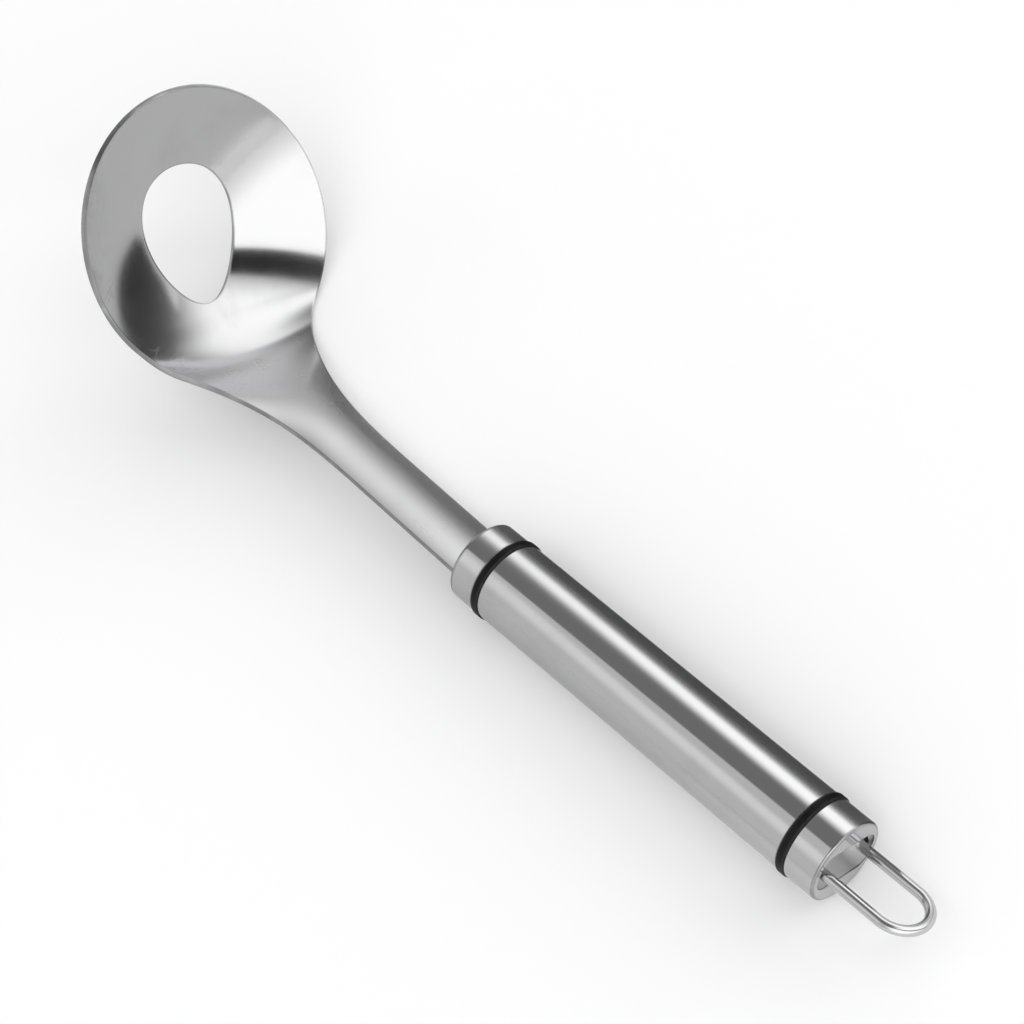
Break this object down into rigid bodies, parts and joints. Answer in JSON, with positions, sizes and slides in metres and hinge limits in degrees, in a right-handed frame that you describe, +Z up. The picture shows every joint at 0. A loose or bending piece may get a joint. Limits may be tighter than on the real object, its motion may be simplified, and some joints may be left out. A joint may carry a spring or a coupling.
{
  "type": "meatball maker",
  "caption": "Stainless scoop with a round dished bowl set at an angle, an oval hole through it, a flared stem, a tubular handle with black rings and a swinging wire loop.",
  "frame": {"origin": "centre of the underside of the box round the tool as it lies on a table", "axes": "+X along the handle axis, from the bowl towards the hanging loop; +Z up, away from the table; the tool lies rolled to one side, on its two black rings and the edge of the spoon's neck"},
  "size_m": [0.2342, 0.0618, 0.0586],
  "materials": {
    "polished_steel": "mirror polished stainless steel",
    "plated_steel": "dull zinc plate",
    "black_plastic": "satin black"
  },
  "bodies": {
    "handle": {"spoon": "polished_steel", "front_ferrule": "polished_steel", "front_bush": "black_plastic", "handle_tube": "polished_steel", "rear_bush": "black_plastic", "end_cap": "polished_steel", "tie_rod": "plated_steel", "tang_rivet_front": "plated_steel", "tang_rivet_rear": "plated_steel"},
    "loop": {"hanging_loop": "polished_steel"}
  },
  "joints": [
    {"name": "loop_swing", "type": "hinge", "parent": "handle", "child": "loop", "pos_m": [0.09485, -0.01373, 0.0093], "axis": [0, 0.8247, -0.5656], "range_deg": [-38, 38]}
  ]
}
